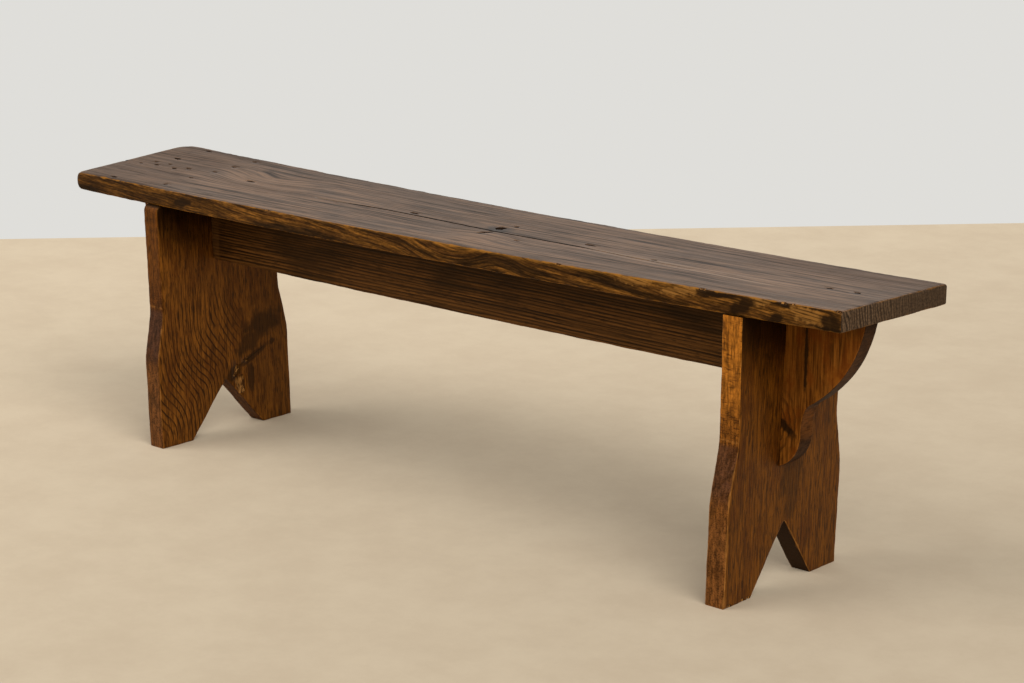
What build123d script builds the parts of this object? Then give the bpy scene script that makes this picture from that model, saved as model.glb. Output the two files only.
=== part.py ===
"""Farmhouse bench: a plank seat on two sawn board legs, with a stretcher on edge and curved brackets.

Millimetres, +Z up. The origin is on the floor under the middle of the seat, and +X runs along it.
"""

import os
from math import hypot

from build123d import *

os.makedirs("parts", exist_ok=True)

# Seat plank: the left end is worn to a round nose, the right end is sawn a little out of square
seat_length = 1588
seat_width = 252
seat_thickness = 30
seat_height = 450
left_overhang = 190
right_overhang = 162
nose_round = 13
nose_front_corner_radius = 12
nose_back_corner_radius = 28
sawn_end_skew = 6
sawn_corner_radius = 4
seat_top_round = 4
seat_bottom_round = 2

# Board legs: one pattern sawn by hand, so the left leg is wider, and both lean in a little at the foot
leg_thickness = 34
left_leg_offset = -1
right_leg_offset = -4
left_top_width = 267
right_top_width = 253
left_waist_width = 266
right_waist_width = 240
left_foot_width = 300
right_foot_width = 275
left_notch_width = 165
right_notch_width = 148
left_notch_height = 94
right_notch_height = 100
left_toe_in = 17
right_toe_in = 11
shoulder_top_height = 234
shoulder_bottom_height = 158
shoulder_round = 110
notch_tip_round = 4
leg_edge_round = 2

# Stretcher: a board on edge under the middle of the seat, its ends bevelled to the legs
stretcher_height = 112
stretcher_thickness = 33
stretcher_edge_round = 2

# Brackets: a large curve under the seat, a short hollow, then a small lobe against the leg
bracket_thickness = 31
bracket_offset = -11.5
bracket_projection = 132
bracket_height = 235
bracket_step_projection = 42
bracket_step_drop = 140
bracket_lobe_projection = 34
bracket_lobe_drop = 178
bracket_curve_bulge = 20
bracket_hollow_depth = 2
bracket_lobe_bulge = 12
bracket_step_round = 5

# Cut nails: a square head on a tapering shank, driven just below the surface
nail_length = 60
nail_head_width = 8
nail_head_thickness = 2
nail_shank_width = 4
nail_taper = 1
nail_set = 1
nail_clearance = 0.1
left_leg_nail_rows = (-98, -41, 13, 57, 105)
right_leg_nail_rows = (-100, -35, 35, 100)
stretcher_nail_places = (-484, -105, 256)
bracket_nail_reaches = (60, 106)
leg_nail_drops = (50, 85)

# Places worked out from the sizes above
LEFT = -1
RIGHT = 1
seat_underside = seat_height - seat_thickness
overhang = {LEFT: left_overhang, RIGHT: right_overhang}
toe_in = {LEFT: left_toe_in, RIGHT: right_toe_in}
bracket_nail_drop = (bracket_step_drop + bracket_lobe_drop) / 2
seat_nail_z = seat_height - nail_set
nail_pocket_mouth = nail_set + bracket_step_projection


def lean(side, drop):
    """How far a leg has leaned in at a drop below the seat."""
    return toe_in[side] * drop / seat_underside


def leg_x(side, drop, depth=0):
    """Where a leg's outer face stands at a drop below the seat, or a depth in from that face."""
    return side * (seat_length / 2 - overhang[side] - lean(side, drop) - depth)


# Nails and their places, one list for each joint
def nail_shape(clearance, mouth):
    """A nail pointing down from the origin, grown by a clearance, its head drawn up to a mouth."""
    head_width = nail_head_width + 2 * clearance
    shank_width = nail_shank_width + 2 * clearance
    head_underside = nail_head_thickness + clearance
    with BuildPart() as shape:
        with BuildSketch(Plane.XY.offset(-head_underside)):
            Rectangle(head_width, head_width)
        extrude(amount=head_underside + mouth)
        with BuildSketch(Plane.XY.offset(-nail_head_thickness)):
            Rectangle(shank_width, shank_width)
        extrude(amount=nail_head_thickness - nail_length - clearance, taper=nail_taper)
    return shape.part


def seat_to_leg(side, rows):
    """Upright nails through the seat into the top of a leg."""
    x = leg_x(side, 0, leg_thickness / 2)
    return [Location((x, y, seat_nail_z)) for y in rows]


def seat_to_bracket(side):
    """Upright nails through the overhang into the top edge of a bracket."""
    places = [leg_x(side, 0, -reach) for reach in bracket_nail_reaches]
    return [Location((x, bracket_offset, seat_nail_z)) for x in places]


def leg_to_stretcher(side):
    """Level nails through a leg into the end of the stretcher, their heads under the bracket."""
    turn = (0, side * 90, 0)
    return [
        Location((leg_x(side, drop, nail_set), 0, seat_underside - drop), turn)
        for drop in leg_nail_drops
    ]


def bracket_to_leg(side):
    """One level nail through the hollow of a bracket into the leg."""
    x = leg_x(side, bracket_nail_drop, nail_set - bracket_lobe_projection)
    return [Location((x, bracket_offset, seat_underside - bracket_nail_drop), (0, side * 90, 0))]


nail = nail_shape(0, 0)
nail_pocket = nail_shape(nail_clearance, nail_pocket_mouth)
seat_to_left_leg = seat_to_leg(LEFT, left_leg_nail_rows)
seat_to_right_leg = seat_to_leg(RIGHT, right_leg_nail_rows)
seat_to_stretcher = [Location((x, 0, seat_nail_z)) for x in stretcher_nail_places]
seat_to_left_bracket = seat_to_bracket(LEFT)
seat_to_right_bracket = seat_to_bracket(RIGHT)
left_leg_to_stretcher = leg_to_stretcher(LEFT)
right_leg_to_stretcher = leg_to_stretcher(RIGHT)
left_bracket_to_leg = bracket_to_leg(LEFT)
right_bracket_to_leg = bracket_to_leg(RIGHT)


# Seat plank
with BuildPart() as seat_plank:
    with BuildSketch(Plane.XY.offset(seat_underside)):
        with BuildLine():
            Polyline(
                (-seat_length / 2, -seat_width / 2),
                (seat_length / 2 - sawn_end_skew, -seat_width / 2),
                (seat_length / 2, seat_width / 2),
                (-seat_length / 2, seat_width / 2),
                close=True,
            )
        make_face()
        corners = vertices().sort_by(Axis.X)
        fillet(corners[:2].sort_by(Axis.Y)[0], nose_front_corner_radius)
        fillet(corners[:2].sort_by(Axis.Y)[1], nose_back_corner_radius)
        fillet(corners[2:], sawn_corner_radius)
    extrude(amount=seat_thickness)
    fillet(faces().sort_by(Axis.Z)[-1].edges(), seat_top_round)
    fillet(faces().sort_by(Axis.Z)[0].edges(), seat_bottom_round)
    with BuildSketch(Plane.XZ):
        with Locations((0, seat_underside)):
            Rectangle(seat_length, seat_thickness, align=(Align.CENTER, Align.MIN))
        fillet(vertices().group_by(Axis.X)[0], nose_round)
    extrude(amount=seat_width / 2, both=True, mode=Mode.INTERSECT)
    with Locations(*seat_to_left_leg, *seat_to_right_leg, *seat_to_stretcher):
        add(nail_pocket, mode=Mode.SUBTRACT)
    with Locations(*seat_to_left_bracket, *seat_to_right_bracket):
        add(nail_pocket, mode=Mode.SUBTRACT)
seat_plank.part.label = "seat_plank"


# Board legs
def board_leg(side, offset, top_width, waist_width, foot_width, notch_width, notch_height, nails):
    """A leg drawn on its outer face: V notch, feet, shoulders, waist and top, level at both ends."""
    foot_lean = lean(side, seat_underside)
    board_rise = hypot(seat_underside, foot_lean) / seat_underside
    outer_face = Plane(
        origin=(leg_x(side, seat_underside), offset, 0),
        x_dir=(0, 1, 0),
        z_dir=(seat_underside, 0, -side * foot_lean),
    )
    with BuildPart() as leg:
        with BuildSketch(outer_face):
            with BuildLine():
                Polyline(
                    (0, notch_height * board_rise),
                    (notch_width / 2, 0),
                    (foot_width / 2, 0),
                    (foot_width / 2, shoulder_bottom_height * board_rise),
                    (waist_width / 2, shoulder_top_height * board_rise),
                    (top_width / 2, seat_underside * board_rise),
                    (0, seat_underside * board_rise),
                )
                mirror(about=Plane.YZ)
            make_face()
            corners = vertices().group_by(Axis.Y)
            fillet(corners[1], notch_tip_round)
            fillet(corners[2] + corners[3], shoulder_round)
        extrude(amount=leg_thickness, dir=(-side, 0, 0))
        faces_across = faces().sort_by(Axis.X)
        broad_face_edges = faces_across[0].edges() + faces_across[-1].edges()
        arrises = broad_face_edges.filter_by(Axis.Y, reverse=True)
        outer_arrises = arrises.filter_by(lambda edge: abs(edge.center().Y - offset) > notch_width / 2)
        fillet(outer_arrises, leg_edge_round)
        with Locations(*nails):
            add(nail_pocket, mode=Mode.SUBTRACT)
    return leg


left_leg = board_leg(
    LEFT,
    left_leg_offset,
    left_top_width,
    left_waist_width,
    left_foot_width,
    left_notch_width,
    left_notch_height,
    seat_to_left_leg + left_leg_to_stretcher + left_bracket_to_leg,
)
left_leg.part.label = "left_leg"

right_leg = board_leg(
    RIGHT,
    right_leg_offset,
    right_top_width,
    right_waist_width,
    right_foot_width,
    right_notch_width,
    right_notch_height,
    seat_to_right_leg + right_leg_to_stretcher + right_bracket_to_leg,
)
right_leg.part.label = "right_leg"


# Stretcher
with BuildPart() as stretcher:
    with BuildSketch(Plane.XZ):
        with BuildLine():
            Polyline(
                (leg_x(LEFT, 0, leg_thickness), seat_underside),
                (leg_x(LEFT, stretcher_height, leg_thickness), seat_underside - stretcher_height),
                (leg_x(RIGHT, stretcher_height, leg_thickness), seat_underside - stretcher_height),
                (leg_x(RIGHT, 0, leg_thickness), seat_underside),
                close=True,
            )
        make_face()
    extrude(amount=stretcher_thickness / 2, both=True)
    fillet(edges().filter_by(Axis.X).group_by(Axis.Z)[0], stretcher_edge_round)
    with Locations(*seat_to_stretcher, *left_leg_to_stretcher, *right_leg_to_stretcher):
        add(nail_pocket, mode=Mode.SUBTRACT)
stretcher.part.label = "stretcher"


# Brackets
def end_bracket(side, nails):
    """A bracket in the corner of the seat's underside and a leg, drawn outward from that corner."""
    corner = Plane(
        origin=(leg_x(side, 0), bracket_offset, seat_underside),
        x_dir=(side, 0, 0),
        z_dir=(0, -side, 0),
    )
    tip = (bracket_projection, 0)
    step = (bracket_step_projection - lean(side, bracket_step_drop), -bracket_step_drop)
    lobe = (bracket_lobe_projection - lean(side, bracket_lobe_drop), -bracket_lobe_drop)
    toe = (-lean(side, bracket_height), -bracket_height)
    with BuildPart() as bracket:
        with BuildSketch(corner):
            with BuildLine():
                Polyline(toe, (0, 0), tip)
                SagittaArc(tip, step, bracket_curve_bulge)
                SagittaArc(step, lobe, -bracket_hollow_depth)
                SagittaArc(lobe, toe, bracket_lobe_bulge)
            make_face()
            step_corner = vertices().sort_by_distance(Vector(*step))[0]
            fillet(step_corner, bracket_step_round)
        extrude(amount=bracket_thickness / 2, both=True)
        with Locations(*nails):
            add(nail_pocket, mode=Mode.SUBTRACT)
    return bracket


left_bracket = end_bracket(LEFT, seat_to_left_bracket + left_bracket_to_leg)
left_bracket.part.label = "left_bracket"

right_bracket = end_bracket(RIGHT, seat_to_right_bracket + right_bracket_to_leg)
right_bracket.part.label = "right_bracket"


# Nails
def nail_group(label, places):
    """The separate nails of one joint."""
    with BuildPart() as nails:
        with Locations(*places):
            add(nail)
    nails.part.label = label
    return nails


nail_groups = [
    nail_group("seat_to_left_leg_nails", seat_to_left_leg),
    nail_group("seat_to_right_leg_nails", seat_to_right_leg),
    nail_group("seat_to_stretcher_nails", seat_to_stretcher),
    nail_group("seat_to_left_bracket_nails", seat_to_left_bracket),
    nail_group("seat_to_right_bracket_nails", seat_to_right_bracket),
    nail_group("left_leg_to_stretcher_nails", left_leg_to_stretcher),
    nail_group("right_leg_to_stretcher_nails", right_leg_to_stretcher),
    nail_group("left_bracket_to_leg_nail", left_bracket_to_leg),
    nail_group("right_bracket_to_leg_nail", right_bracket_to_leg),
]

boards = [seat_plank, left_leg, right_leg, stretcher, left_bracket, right_bracket]
for piece in boards + nail_groups:
    export_step(piece.part, f"parts/{piece.part.label}.step")
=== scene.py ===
"""Farmhouse bench: the worn boards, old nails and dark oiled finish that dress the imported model.

Metres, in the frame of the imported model: +X along the seat, +Y to the back, +Z up from the floor.
"""
import math

import bmesh
import bpy
import numpy as np
from mathutils import Matrix, Vector, geometry, noise


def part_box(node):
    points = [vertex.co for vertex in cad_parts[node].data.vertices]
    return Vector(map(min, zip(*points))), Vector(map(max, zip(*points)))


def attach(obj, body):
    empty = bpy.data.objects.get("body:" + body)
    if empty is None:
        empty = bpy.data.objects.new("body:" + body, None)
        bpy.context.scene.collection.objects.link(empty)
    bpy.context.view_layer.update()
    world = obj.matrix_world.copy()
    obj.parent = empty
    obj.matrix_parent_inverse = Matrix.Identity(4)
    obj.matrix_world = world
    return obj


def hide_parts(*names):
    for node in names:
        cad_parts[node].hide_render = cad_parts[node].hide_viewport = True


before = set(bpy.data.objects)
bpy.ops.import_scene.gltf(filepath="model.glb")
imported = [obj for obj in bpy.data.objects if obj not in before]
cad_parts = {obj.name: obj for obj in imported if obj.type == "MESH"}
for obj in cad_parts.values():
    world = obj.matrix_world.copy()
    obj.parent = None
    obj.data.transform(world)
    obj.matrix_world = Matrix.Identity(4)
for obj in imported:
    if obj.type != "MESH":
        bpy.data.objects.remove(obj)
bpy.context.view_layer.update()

# Board legs
# Two softwood boards with the grain upright, sawn to one pattern by hand: a waist, two shoulders
# and a V notch that leaves two feet. Both lean in a little at the foot and carry the nailed seat.
MM = 0.001
LEFT = -1
RIGHT = 1
leg_thickness = 34 * MM
leg_top_width = {LEFT: 267 * MM, RIGHT: 253 * MM}
waist_width = {LEFT: 266 * MM, RIGHT: 240 * MM}
notch_width = {LEFT: 165 * MM, RIGHT: 148 * MM}
notch_height = {LEFT: 94 * MM, RIGHT: 100 * MM}
top_corner_round = {LEFT: 10 * MM, RIGHT: 0}
shoulder_top_height = 234 * MM
shoulder_bottom_height = 158 * MM
shoulder_round = 110 * MM
notch_tip_round = 4 * MM
leg_arris = 1.7 * MM
leg_wander = 0.7 * MM
seat_sag = 3.4 * MM
sag_reach = 570 * MM
seat_slope = 0.0012
wind_at_middle = 5.5 * MM
wind_at_ends = 8.9 * MM
wind_reach = 700 * MM
seat_low, seat_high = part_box("seat_plank")
seat_half_width = seat_high.y


def mm(*sizes):
    """Sizes in millimetres, as metres."""
    return tuple(size * MM for size in sizes)


def settled(points):
    """The points after long use: the seat's sag and wind, fading to nothing at the floor."""
    x, y, z = points.T
    sag = seat_sag * ((x / sag_reach) ** 2 - 1) - seat_slope * x
    wind = (wind_at_middle - wind_at_ends * x / wind_reach) / 2 * y / seat_half_width
    return np.column_stack([x, y, z + (sag + wind) * np.clip(z / seat_low.z, 0, 1)])


def eased(corners, steps=8):
    """An outline from (across, up, radius) corners, each with a radius turned into an arc."""
    points = []
    for i, (across, up, radius) in enumerate(corners):
        corner = Vector((across, up))
        if radius == 0:
            points.append(corner)
            continue
        back = (Vector(corners[i - 1][:2]) - corner).normalized()
        ahead = (Vector(corners[(i + 1) % len(corners)][:2]) - corner).normalized()
        half_angle = back.angle(ahead) / 2
        centre = corner + (back + ahead).normalized() * radius / math.sin(half_angle)
        start = corner + back * radius / math.tan(half_angle) - centre
        sweep = start.angle_signed(corner + ahead * radius / math.tan(half_angle) - centre)
        for step in range(steps + 1):
            points.append(centre + Matrix.Rotation(-sweep * step / steps, 2) @ start)
    return np.array(points)


def ripple(points, size, seed=0.0):
    """Smooth unevenness from -1 to 1 at each point, about one hump to each size."""
    start = Vector((seed, seed, seed))
    return np.array([noise.noise(Vector(point) / size + start) for point in points])


def inside(spots, ring):
    """Which spots lie inside a closed ring of points."""
    x, y = spots.T
    within = np.zeros(len(spots), bool)
    for (ax, ay), (bx, by) in zip(ring, np.roll(ring, -1, axis=0)):
        if ay != by:
            within ^= ((ay > y) != (by > y)) & (x < ax + (y - ay) * (bx - ax) / (by - ay))
    return within


def placed(name, data):
    """A new object in the scene."""
    thing = bpy.data.objects.new(name, data)
    bpy.context.scene.collection.objects.link(thing)
    return thing


wander_pitch, arris_pitch, nibble_pitch = mm(45, 30, 9)
arris_swing, nibble_swing = 0.8, 0.5
arris_seed, nibble_seed = 3.7, 8.1
least_arris, most_arris = 0.4, 1.9
arris_round = 0.3
depth_rows = 6
merge_distance = 1e-7
crease_angle = math.radians(50)


def saw_board(
    name, outline, thickness, arrises, place, step=4 * MM, wander=0.0, margin=4 * MM, cracks=()
):
    """A closed mesh of a board: its outline through a thickness, with unevenly rounded arrises.

    place turns (along, across, depth) into the bench's frame. Each point keeps its wear: up to 1 on
    an arris, and down to -1 in a crack, given as (line, dirt) pairs.
    """
    # the rim: points round the outline, each with its way inward
    corners = np.array(outline)
    ahead = np.roll(corners, -1, axis=0) - corners
    sides = np.linalg.norm(ahead, axis=1, keepdims=True)
    inward = np.column_stack([-ahead[:, 1], ahead[:, 0]]) / sides
    before = np.roll(inward, 1, axis=0)
    mitres = (inward + before) / (1 + (inward * before).sum(axis=1, keepdims=True))
    counts = np.maximum(1, np.round(sides[:, 0] / step)).astype(int)
    side_of = np.repeat(np.arange(len(corners)), counts)
    share = np.concatenate([np.arange(count) / count for count in counts])[:, None]
    rim = corners[side_of] * (1 - share) + np.roll(corners, -1, axis=0)[side_of] * share
    mitre = mitres[side_of] * (1 - share) + np.roll(mitres, -1, axis=0)[side_of] * share
    flat_rim = np.column_stack([rim, np.zeros(len(rim))])
    rim = rim + mitre * (wander * ripple(flat_rim, wander_pitch))[:, None]
    swung = arris_swing * ripple(flat_rim, arris_pitch, arris_seed)
    nibbled = nibble_swing * ripple(flat_rim, nibble_pitch, nibble_seed)
    uneven = np.clip(1 + swung + nibbled, least_arris, most_arris)

    # rows of the rim from face to face. Those of an arris: how far in, further in, deep and worn
    low, high = arrises
    low_rows = [(1, margin, 0, 0), (1, 0, 0, 0.5), (arris_round, 0, arris_round, 1), (0, 0, 1, 0.5)]
    rows = [(low * uneven * a + b, low * uneven * c, worn) for a, b, c, worn in low_rows]
    for part in np.linspace(0, 1, depth_rows):
        depth = low + margin + part * (thickness - low - high - 2 * margin)
        rows.append((0 * uneven, depth + 0 * uneven, 0))
    rows += [
        (high * uneven * a + b, thickness - high * uneven * c, worn)
        for a, b, c, worn in reversed(low_rows)
    ]
    rings = [np.column_stack([rim + mitre * inset[:, None], depth]) for inset, depth, worn in rows]
    count = len(rim)

    # both flat faces: a grid of points, clear of the rim and of the cracks, joined by triangles
    inner = rings[0][:, :2]
    cell = 3 * step
    lowest, highest = inner.min(axis=0), inner.max(axis=0)
    grid = np.meshgrid(
        np.arange(lowest[0], highest[0], cell), np.arange(lowest[1], highest[1], cell)
    )
    spots = np.array(grid).reshape(2, -1).T
    spots = spots[inside(spots, inner)]
    crack_lines = [line for line, dirt in cracks]
    hems = np.vstack([inner, *crack_lines])
    spots = np.array(
        [spot for spot in spots if np.square(hems - spot).sum(axis=1).min() > (cell / 2) ** 2]
    )
    flat = np.vstack([inner, spots, *crack_lines])
    edges = []
    first = len(inner) + len(spots)
    for line in crack_lines:
        edges += [(first + i, first + i + 1) for i in range(len(line) - 1)]
        first += len(line)
    points = [Vector(point) for point in flat]
    filled = geometry.delaunay_2d_cdt(points, edges, [list(range(count))], 1, merge_distance)
    triangles, sources = filled[2:4]
    loose = flat[count:]
    low_face = np.column_stack([loose, np.zeros(len(loose))])
    high_face = np.column_stack([loose, np.full(len(loose), thickness)])
    along, across, depth = np.vstack([*rings, low_face, high_face]).T
    faces = []
    for row in range(len(rows) - 1):
        for i in range(count):
            j = (i + 1) % count
            here, above = row * count, (row + 1) * count
            faces.append((here + i, here + j, above + j, above + i))
    last_ring = (len(rows) - 1) * count
    for triangle in triangles:
        ends = [sources[corner][0] for corner in triangle]
        faces.append([i if i < count else last_ring + i for i in reversed(ends)])
        faces.append([last_ring + i if i < count else last_ring + len(loose) + i for i in ends])

    # the mesh, settled, with the wear of each point
    mesh = bpy.data.meshes.new(name)
    mesh.from_pydata(settled(place(along, across, depth)).tolist(), [], faces)
    rim_wear = np.repeat([row[2] for row in rows], count)
    crack_dirt = [np.full(len(line), dirt) for line, dirt in cracks]
    high_wear = np.concatenate([np.zeros(len(spots)), *crack_dirt])
    wear = np.concatenate([rim_wear, np.zeros(len(loose)), high_wear]).astype(np.float32)
    mesh.attributes.new("worn", "FLOAT", "POINT").data.foreach_set("value", wear)
    turned = bmesh.new()
    turned.from_mesh(mesh)
    bmesh.ops.recalc_face_normals(turned, faces=turned.faces)
    turned.to_mesh(mesh)
    turned.free()
    mesh.shade_smooth()
    mesh.set_sharp_from_angle(angle=crease_angle)
    return placed(name, mesh)


def hooped(hoops):
    """A closed shape through hoops of points, from the lowest up."""
    shape = bmesh.new()
    hoops = [[shape.verts.new(point) for point in hoop] for hoop in hoops]
    for lower, upper in zip(hoops, hoops[1:]):
        for i in range(len(lower)):
            shape.faces.new((lower[i - 1], lower[i], upper[i], upper[i - 1]))
    shape.faces.new(reversed(hoops[0]))
    shape.faces.new(hoops[-1])
    return shape


def meshed(name, shape):
    """A shape under way, finished as a mesh."""
    mesh = bpy.data.meshes.new(name)
    shape.to_mesh(mesh)
    shape.free()
    return mesh


def joined(shapes):
    """Several shapes as one."""
    whole = bmesh.new()
    for shape in shapes:
        part = meshed("part", shape)
        whole.from_mesh(part)
        bpy.data.meshes.remove(part)
    return whole


chip_sides = 11
chip_levels = ((-1, 0.7), (-0.4, 0.8), (0.3, 1), (1, 1))
chip_raggedness = 0.55
chip_bumps = 2
chip_seed = 97


def chip(place, size, turn=0.0, axis="Y"):
    """An irregular plug, narrower below, for cutting a hole or a chip."""
    hoops = []
    for level, width in chip_levels:
        hoop = []
        for i in range(chip_sides):
            angle = 2 * math.pi * i / chip_sides
            across, along = math.cos(angle), math.sin(angle)
            spot = Vector((across, along, level)) * chip_bumps + Vector(place) * chip_seed
            reach = width + chip_raggedness * noise.noise(spot)
            hoop.append((reach * across, reach * along, level))
        hoops.append(hoop)
    plug = hooped(hoops)
    turned = Matrix.Rotation(turn, 4, axis) @ Matrix.Diagonal((*size, 1))
    plug.transform(Matrix.Translation(place) @ turned)
    return plug


def cut(board, plugs, finish):
    """Cuts the plugs out of a board. The cut faces take the given finish."""
    board.data.materials.append(finish)
    plug = joined(plugs)
    for face in plug.faces:
        face.material_index = len(board.data.materials) - 1
        face.smooth = True
    cutter = placed("plugs", meshed("plugs", plug))
    for slot in board.data.materials:
        cutter.data.materials.append(slot)
    carve = board.modifiers.new("holes", "BOOLEAN")
    carve.operation = "DIFFERENCE"
    carve.solver = "EXACT"
    carve.object = cutter
    bpy.context.view_layer.update()
    carved = board.evaluated_get(bpy.context.evaluated_depsgraph_get())
    shaped = bpy.data.meshes.new_from_object(carved)
    board.modifiers.clear()
    board.data = shaped
    bpy.data.objects.remove(cutter)


class Value:
    """The output of a step. It takes part in sums as a number does, each sum a further step."""

    def __init__(self, steps, socket):
        self.steps = steps
        self.socket = socket

    def __add__(self, other):
        return self.steps.reckon("ADD", self, other)

    def __sub__(self, other):
        return self.steps.reckon("SUBTRACT", self, other)

    def __rsub__(self, other):
        return self.steps.reckon("SUBTRACT", other, self)

    def __mul__(self, other):
        return self.steps.reckon("MULTIPLY", self, other)

    def __truediv__(self, other):
        return self.steps.reckon("DIVIDE", self, other)

    def band(self, start, end):
        """Rises smoothly from 0 at start to 1 at end."""
        inputs = {0: self, 1: start, 2: end, 3: 0.0, 4: 1.0}
        return self.steps.step("ShaderNodeMapRange", inputs, interpolation_type="SMOOTHSTEP")

    def fall(self, start, end):
        """Falls smoothly from 1 at start to 0 at end."""
        return 1 - self.band(start, end)

    def hump(self, middle, reach):
        """1 at the middle, falling smoothly to 0 at a reach to either side."""
        return self.steps.reckon("ABSOLUTE", self - middle).fall(0, reach)

    def rings(self, start, end):
        """Growth rings of a phase that rises by 1 a year: early wood, then a sharp late line."""
        year = self.steps.reckon("FRACT", self)
        return year.band(start, end) * year.fall(0.92, 1)


class Steps:
    """Shading under way. Each call adds a step and gives back its output for others to use."""

    def __init__(self, owner):
        owner.use_nodes = True
        self.nodes = owner.node_tree.nodes
        self.links = owner.node_tree.links

    def feed(self, node, inputs):
        """Gives a node its inputs: plain values, or the outputs of other steps."""
        for key, value in inputs.items():
            if isinstance(value, Value):
                self.links.new(value.socket, node.inputs[key])
            else:
                node.inputs[key].default_value = value

    def step(self, kind, inputs, out=0, **settings):
        """One node of a kind."""
        node = self.nodes.new(kind)
        for name, value in settings.items():
            setattr(node, name, value)
        self.feed(node, inputs)
        return Value(self, node.outputs[out])

    def reckon(self, how, *values):
        """One sum of plain values."""
        return self.step("ShaderNodeMath", dict(enumerate(values)), operation=how)

    def vector(self, how, *values, out=0):
        """One sum of places."""
        return self.step("ShaderNodeVectorMath", dict(enumerate(values)), out, operation=how)

    def most(self, first, *others):
        """The greatest of several values."""
        for other in others:
            first = self.reckon("MAXIMUM", first, other)
        return first

    def tint(self, under, over, amount):
        """The over colour laid on the under colour by an amount from 0 to 1."""
        inputs = {0: amount, 6: under, 7: over}
        return self.step("ShaderNodeMix", inputs, out=2, data_type="RGBA")

    def coats(self, colour, *coats):
        """A colour under several coats, each an over colour and its amount."""
        for over, amount in coats:
            colour = self.tint(colour, over, amount)
        return colour

    def shade(self, colour, amount):
        """A colour made darker or lighter by an amount."""
        inputs = {0: 1.0, 6: colour, 7: amount}
        return self.step("ShaderNodeMix", inputs, out=2, data_type="RGBA", blend_type="MULTIPLY")


class Finish(Steps):
    """A finish of wood or metal, laid out in the bench's frame."""

    def __init__(self, name):
        self.material = bpy.data.materials.new(name)
        super().__init__(self.material)
        self.spot = self.step("ShaderNodeTexCoord", {}, out="Object")
        self.x, self.y, self.z = (
            self.step("ShaderNodeSeparateXYZ", {0: self.spot}, out=i) for i in range(3)
        )

    def cloud(self, pitch, detail=2.0, seed=0.0, rough=0.5, spot=None):
        """Smooth unevenness about 0.5, with its own pitch in metres along each axis."""
        places = self.vector("DIVIDE", self.spot if spot is None else spot, pitch)
        moved = self.vector("ADD", places, (seed, seed, seed))
        inputs = {"Vector": moved, "Scale": 1.0, "Detail": detail, "Roughness": rough}
        return self.step("ShaderNodeTexNoise", inputs)

    def swing(self, pitch, reach, detail=2.0, seed=0.0):
        """Unevenness that swings by a reach each way."""
        return (self.cloud(pitch, detail, seed) - 0.5) * (2 * reach)

    def patch(self, centre, size, ragged=0.35, pitch=12 * MM, turn=0.0, axis="X_AXIS"):
        """1 in the middle of a ragged patch and 0 outside it."""
        inputs = {"Vector": self.vector("SUBTRACT", self.spot, centre), "Angle": turn}
        turned = self.step("ShaderNodeVectorRotate", inputs, rotation_type=axis)
        far = self.vector("LENGTH", self.vector("DIVIDE", turned, size), out=1)
        return (far + self.swing((pitch, pitch, pitch), ragged, detail=3)).fall(0.45, 1)

    def facing(self, axis):
        """How far the surface faces along an axis, -1 to 1."""
        normal = self.step("ShaderNodeNewGeometry", {}, out="True Normal")
        return self.step("ShaderNodeSeparateXYZ", {0: normal}, out=axis)

    def edge_on(self, axis):
        """1 on faces that look either way along an axis."""
        return self.reckon("ABSOLUTE", self.facing(axis)).band(0.55, 0.8)

    def wear(self):
        """The wear kept in the board's mesh: up to 1 on an arris and down to -1 in a crack."""
        return self.step("ShaderNodeAttribute", {}, out="Fac", attribute_name="worn")

    def worn(self, pitch=14 * MM, start=0.75, end=1.15):
        """1 on the arrises where the finish has been rubbed through."""
        uneven = self.swing((pitch, pitch, pitch), 0.9, detail=4, seed=5)
        return (self.wear() + uneven).band(start, end)

    def close(self, colour, roughness, height, relief, specular, sheen=(1, 1, 1, 1), metallic=0.0):
        """The finished material. Its height lifts the surface by a relief in metres."""
        lifted = {"Height": height, "Distance": relief, "Strength": 1.0}
        self.feed(self.nodes["Principled BSDF"], {
            "Base Color": colour,
            "Roughness": roughness,
            "Normal": self.step("ShaderNodeBump", lifted),
            "Specular IOR Level": specular,
            "Specular Tint": sheen,
            "Metallic": metallic,
        })
        return self.material


amber_sheen = (1.0, 0.50, 0.14, 1)
raw_wood_tone = (0.42, 0.195, 0.052, 1)
raw_wood_shadow = (0.045, 0.018, 0.006, 1)


def raw_wood():
    """Wood laid bare where a splinter came away: pale fibres, with painted shade in the hollows
    between them.
    """
    bare = Finish("raw_wood")
    fibre = bare.cloud(mm(2.5, 2.5, 22), detail=4)
    # painted shade: raw_wood_shadow darkens the hollows between the fibres
    tone = bare.tint(raw_wood_shadow, raw_wood_tone, fibre.band(0.44, 0.62))
    rough = fibre * 0.2 + 0.6
    return bare.close(tone, rough, fibre, 1.5 * MM, 0.1, amber_sheen)


def leg_outline(side, foot_width):
    """The leg's outline seen from its end, from the notch round both feet and up to the seat."""
    notch, waist, foot, top = (
        width / 2
        for width in (notch_width[side], waist_width[side], foot_width, leg_top_width[side])
    )
    return eased([
        (0, notch_height[side], notch_tip_round),
        (notch, 0, 0),
        (foot, 0, 0),
        (foot, shoulder_bottom_height, shoulder_round),
        (waist, shoulder_top_height, shoulder_round),
        (top, seat_low.z, top_corner_round[side]),
        (-top, seat_low.z, top_corner_round[side]),
        (-waist, shoulder_top_height, shoulder_round),
        (-foot, shoulder_bottom_height, shoulder_round),
        (-foot, 0, 0),
        (-notch, 0, 0),
    ])


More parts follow.
